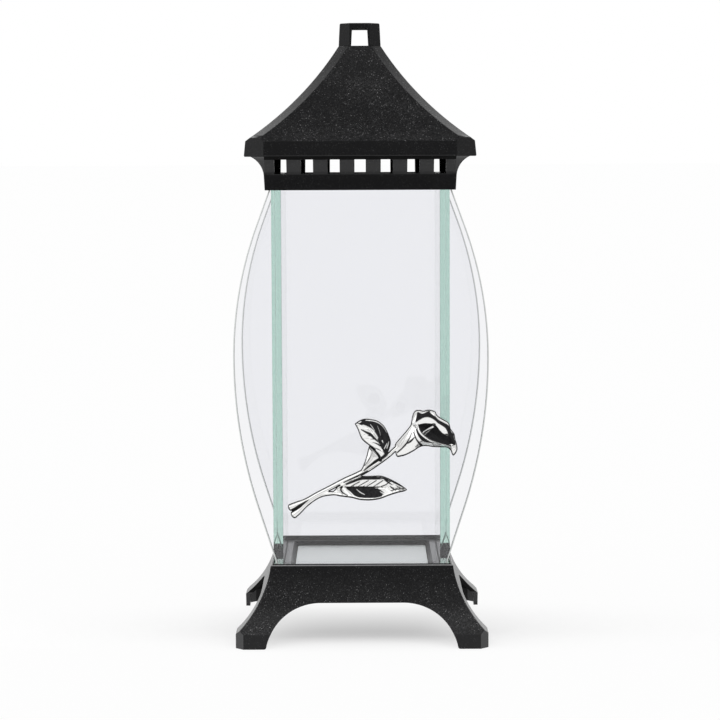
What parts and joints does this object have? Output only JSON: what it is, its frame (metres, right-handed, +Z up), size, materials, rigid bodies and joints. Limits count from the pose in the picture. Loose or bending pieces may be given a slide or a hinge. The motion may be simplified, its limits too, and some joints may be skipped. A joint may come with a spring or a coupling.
{
  "type": "grave lantern",
  "caption": "Glass grave lantern on a footed black base, with a vented collar, a lift-off pagoda roof and a silver calla lily on the front pane.",
  "frame": {"origin": "on the ground under the middle of the lantern", "axes": "+Z up, front pane with the lily towards -Y, +X to the right as seen from the front"},
  "size_m": [0.1298, 0.128, 0.3164],
  "materials": {
    "black_coat": "black powder coat with fine bright flecks over die-cast metal",
    "clear_glass": "clear float glass, 5 mm, polished edges that look green",
    "black_seal": "black silicone seal",
    "satin_metal": "light grey satin sheet",
    "polished_silver": "polished silver plate with dark patina in the hollows",
    "adhesive": "pale foam adhesive"
  },
  "bodies": {
    "lantern": {"base": "black_coat", "floor_plate": "satin_metal", "glass_foot_seal": "black_seal", "front_pane": "clear_glass", "rear_pane": "clear_glass", "left_pane": "clear_glass", "right_pane": "clear_glass", "glass_head_seal": "black_seal", "vent_collar": "black_coat", "calla_lily": "polished_silver", "lower_leaf_pad": "adhesive", "upper_leaf_pad": "adhesive", "flower_pad": "adhesive"},
    "roof_lid": {"roof": "black_coat", "chimney": "black_coat"}
  },
  "joints": [
    {"name": "roof_lift", "type": "slide", "parent": "lantern", "child": "roof_lid", "axis": [0, 0, 1], "range_m": [0, 0.08]}
  ]
}
